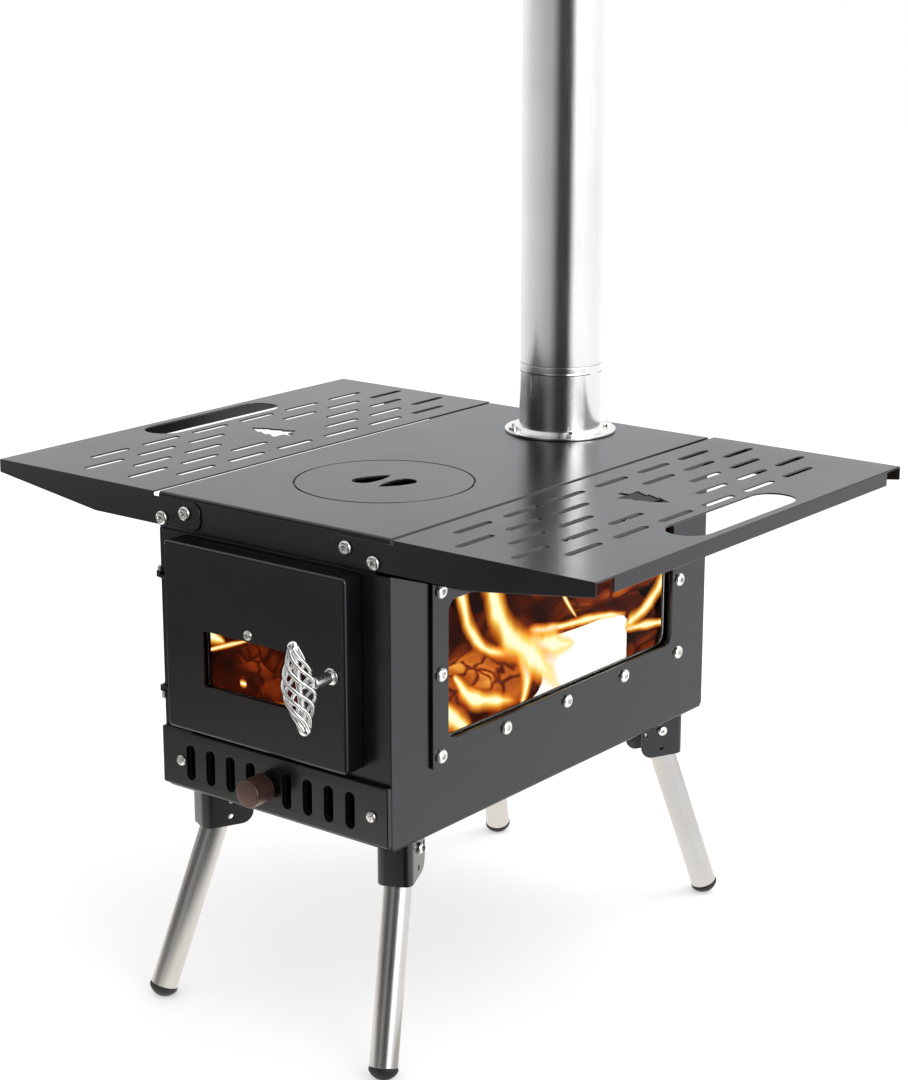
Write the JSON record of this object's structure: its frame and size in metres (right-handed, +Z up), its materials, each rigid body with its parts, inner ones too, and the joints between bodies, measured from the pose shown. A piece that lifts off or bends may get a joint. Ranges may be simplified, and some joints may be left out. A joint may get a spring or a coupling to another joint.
{
  "type": "tent wood stove",
  "caption": "Portable folding-leg wood stove with a glazed door, side window, air slide, two fold-up slotted shelves, round cooking lid and a lift-off flue pipe.",
  "frame": {"origin": "middle of the footprint, on the floor", "axes": "+Z up, +Y from the door to the back, +X to the right as seen from the door"},
  "size_m": [0.511, 0.4466, 0.7343],
  "materials": {
    "black_steel": "satin black heat-proof powder coat",
    "stainless": "brushed stainless steel",
    "chrome": "bright plated wire",
    "rubber": "matt black rubber",
    "bronze": "bronze-brown anodised, satin",
    "rope": "woven glass-fibre seal",
    "glass": "clear heat-proof glass"
  },
  "bodies": {
    "stove": {"firebox_shell": "black_steel", "front_plate": "black_steel", "back_plate": "black_steel", "top_plate": "black_steel", "lid_seat": "black_steel", "fire_grate": "black_steel", "smoke_baffle": "black_steel", "window_frame": "black_steel", "window_seal": "rope", "window_glass": "glass", "window_clamp": "stainless", "flue_collar": "stainless", "flange_screw_1": "stainless", "flange_screw_2": "stainless", "flange_screw_3": "stainless", "flange_screw_4": "stainless", "hinge_pin_upper": "stainless", "hinge_pin_lower": "stainless", "air_panel": "black_steel", "air_panel_screw_left": "stainless", "air_panel_screw_right": "stainless", "shelf_pivot_front_left": "stainless", "shelf_stop_front_left": "stainless", "shelf_pivot_back_left": "stainless", "shelf_stop_back_left": "stainless", "shelf_pivot_front_right": "stainless", "shelf_stop_front_right": "stainless", "shelf_pivot_back_right": "stainless", "shelf_stop_back_right": "stainless", "leg_bracket_front_left": "black_steel", "leg_pivot_front_left": "stainless", "leg_bracket_front_right": "black_steel", "leg_pivot_front_right": "stainless", "leg_bracket_back_left": "black_steel", "leg_pivot_back_left": "stainless", "leg_bracket_back_right": "black_steel", "leg_pivot_back_right": "stainless"},
    "door": {"door_shell": "black_steel", "door_glass": "glass", "door_glass_clamp": "black_steel", "door_glass_bolt": "stainless", "door_liner": "black_steel", "door_gasket": "rope"},
    "handle": {"handle_stem": "stainless", "handle_grip": "chrome", "latch_tongue": "stainless"},
    "air_control": {"air_slider": "black_steel", "air_knob": "bronze"},
    "shelf_left": {"shelf_left": "black_steel"},
    "shelf_right": {"shelf_right": "black_steel"},
    "lid": {"cooking_lid": "black_steel"},
    "flue_pipe": {"flue_pipe": "stainless"},
    "leg_front_left": {"leg_tube_front_left": "stainless", "leg_cap_front_left": "rubber"},
    "leg_front_right": {"leg_tube_front_right": "stainless", "leg_cap_front_right": "rubber"},
    "leg_back_left": {"leg_tube_back_left": "stainless", "leg_cap_back_left": "rubber"},
    "leg_back_right": {"leg_tube_back_right": "stainless", "leg_cap_back_right": "rubber"}
  },
  "joints": [
    {"name": "door_hinge", "type": "hinge", "parent": "stove", "child": "door", "pos_m": [-0.0929, -0.17218, 0.27052], "axis": [0, 0, -1], "range_deg": [0, 110]},
    {"name": "handle_turn", "type": "hinge", "parent": "door", "child": "handle", "pos_m": [0.066, -0.19468, 0.27052], "axis": [0, 1, 0], "range_deg": [0, 90]},
    {"name": "air_slide", "type": "slide", "parent": "stove", "child": "air_control", "axis": [1, 0, 0], "range_m": [0, 0.0086]},
    {"name": "shelf_left_fold", "type": "hinge", "parent": "stove", "child": "shelf_left", "pos_m": [-0.074, 0.01932, 0.35102], "axis": [0, 1, 0], "range_deg": [0, 90]},
    {"name": "shelf_right_fold", "type": "hinge", "parent": "stove", "child": "shelf_right", "pos_m": [0.0658, 0.01932, 0.35102], "axis": [0, -1, 0], "range_deg": [0, 90]},
    {"name": "lid_lift", "type": "slide", "parent": "stove", "child": "lid", "axis": [0, 0, 1], "range_m": [0, 0.024]},
    {"name": "flue_pipe_lift", "type": "slide", "parent": "stove", "child": "flue_pipe", "axis": [0, 0, 1], "range_m": [0, 0.08]},
    {"name": "leg_front_left_fold", "type": "hinge", "parent": "stove", "child": "leg_front_left", "pos_m": [-0.0794, -0.13058, 0.14252], "axis": [0.9063, -0.4226, 0], "range_deg": [0, 107]},
    {"name": "leg_front_right_fold", "type": "hinge", "parent": "stove", "child": "leg_front_right", "pos_m": [0.0794, -0.13058, 0.14252], "axis": [0.9063, 0.4226, 0], "range_deg": [0, 107]},
    {"name": "leg_back_left_fold", "type": "hinge", "parent": "stove", "child": "leg_back_left", "pos_m": [-0.0794, 0.16922, 0.14252], "axis": [-0.9063, -0.4226, 0], "range_deg": [0, 107]},
    {"name": "leg_back_right_fold", "type": "hinge", "parent": "stove", "child": "leg_back_right", "pos_m": [0.0794, 0.16922, 0.14252], "axis": [-0.9063, 0.4226, 0], "range_deg": [0, 107]}
  ]
}
